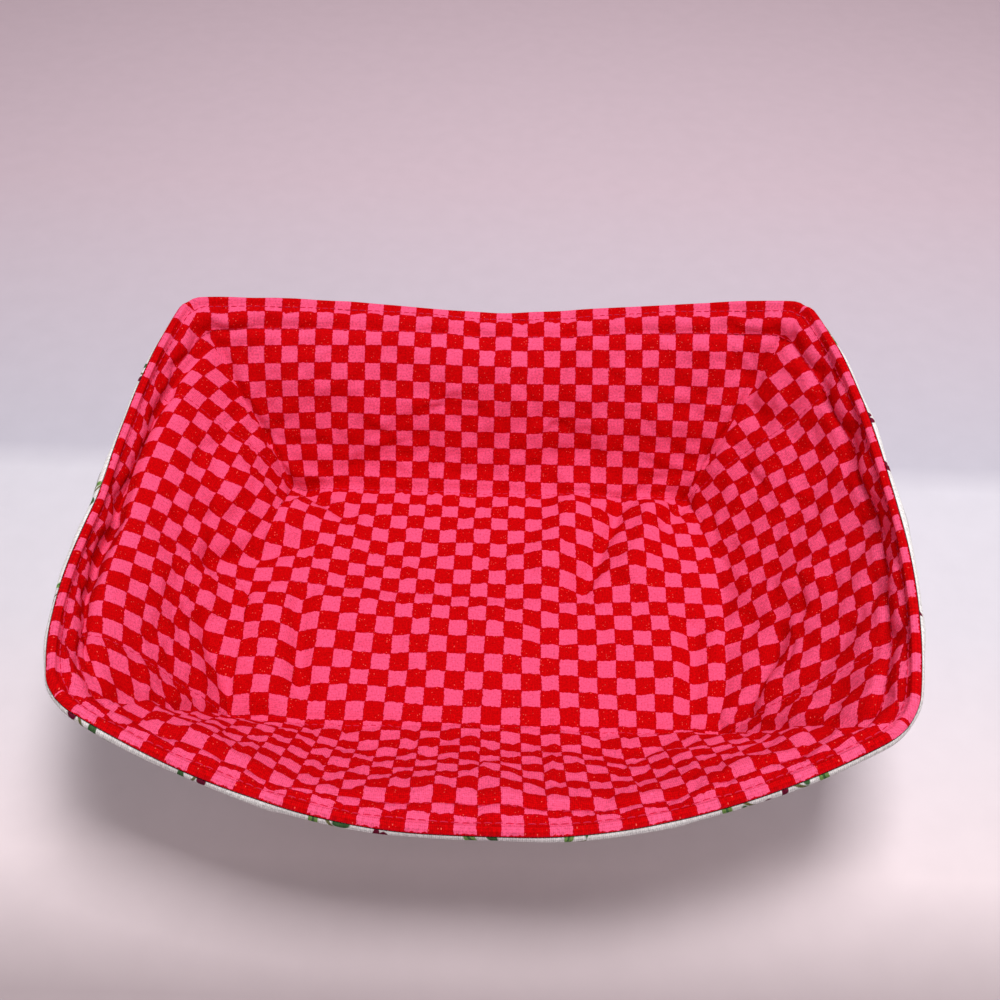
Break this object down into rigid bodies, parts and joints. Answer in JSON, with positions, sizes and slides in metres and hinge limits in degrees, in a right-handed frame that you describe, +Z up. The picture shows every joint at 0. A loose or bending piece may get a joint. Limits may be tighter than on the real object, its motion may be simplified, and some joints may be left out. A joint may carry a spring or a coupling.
{
  "type": "microwave container cozy",
  "caption": "Soft quilted fabric bowl with corner darts and a topstitched rim, which cradles a hot food container in and out of a microwave oven.",
  "frame": {"origin": "on the surface that the cozy stands on, under the middle of its box", "axes": "+X along the long sides to the right, +Y from the near side to the far side, +Z up out of the bowl's mouth"},
  "size_m": [0.2562, 0.2154, 0.0794],
  "materials": {
    "lining_cotton": "matt plain-woven cotton with a printed red and pink check",
    "outer_cotton": "matt plain-woven white cotton with a small scattered sprig print",
    "batting": "soft unbleached cotton batting",
    "lining_thread": "twisted cotton sewing thread, crimson",
    "outer_thread": "twisted cotton sewing thread, off-white"
  },
  "bodies": {
    "root": {"lining": "lining_cotton", "lining_batting": "batting", "outer_batting": "batting", "outer_shell": "outer_cotton", "rim_seam_thread": "lining_thread", "edge_topstitch_lining": "lining_thread", "inner_topstitch_lining": "lining_thread", "lining_quilting_near": "lining_thread", "lining_quilting_middle": "lining_thread", "lining_quilting_far": "lining_thread", "lining_dart_far_left": "lining_thread", "lining_dart_far_right": "lining_thread", "lining_dart_near_left": "lining_thread", "lining_dart_near_right": "lining_thread", "edge_topstitch_outer": "outer_thread", "inner_topstitch_outer": "outer_thread", "outer_quilting_near": "outer_thread", "outer_quilting_middle": "outer_thread", "outer_quilting_far": "outer_thread", "outer_dart_far_left": "outer_thread", "outer_dart_far_right": "outer_thread", "outer_dart_near_left": "outer_thread", "outer_dart_near_right": "outer_thread"}
  },
  "joints": []
}
